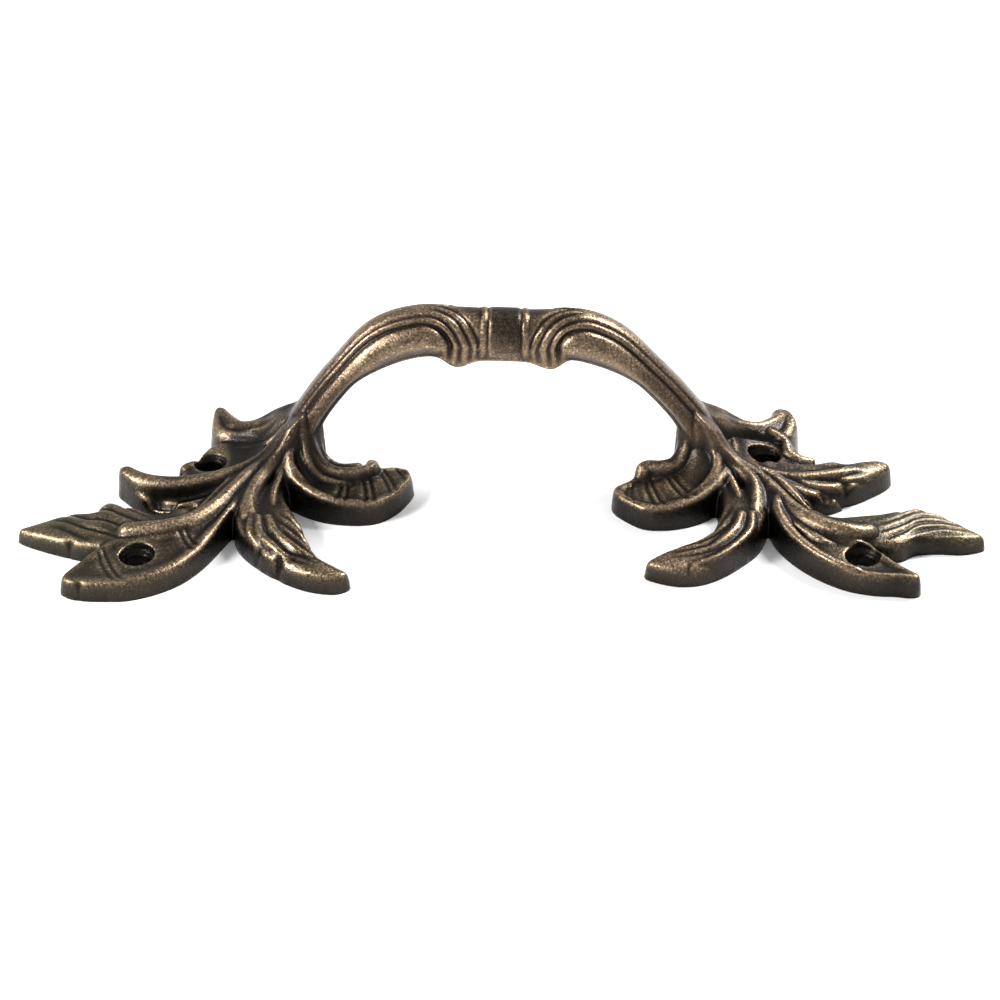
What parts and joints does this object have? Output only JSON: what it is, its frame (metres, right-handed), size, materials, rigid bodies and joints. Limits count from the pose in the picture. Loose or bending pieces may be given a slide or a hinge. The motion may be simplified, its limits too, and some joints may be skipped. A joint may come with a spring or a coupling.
{
  "type": "drawer pull",
  "caption": "Cast brass drawer pull: a moulded arched grip bar between leaf and scroll feet with countersunk screw holes, for pulling a drawer or door open.",
  "frame": {"origin": "on the mounting face, under the middle of the part's bounding box", "axes": "+X along the grip from the left foot to the right foot, +Y across it towards the horns at the back of the feet, +Z straight out from the mounting face"},
  "size_m": [0.1646, 0.0529, 0.0323],
  "materials": {
    "antique_brass": "dark patina in the hollows, golden brown where the ridges are rubbed"
  },
  "bodies": {
    "root": {"pull_casting": "antique_brass"}
  },
  "joints": []
}
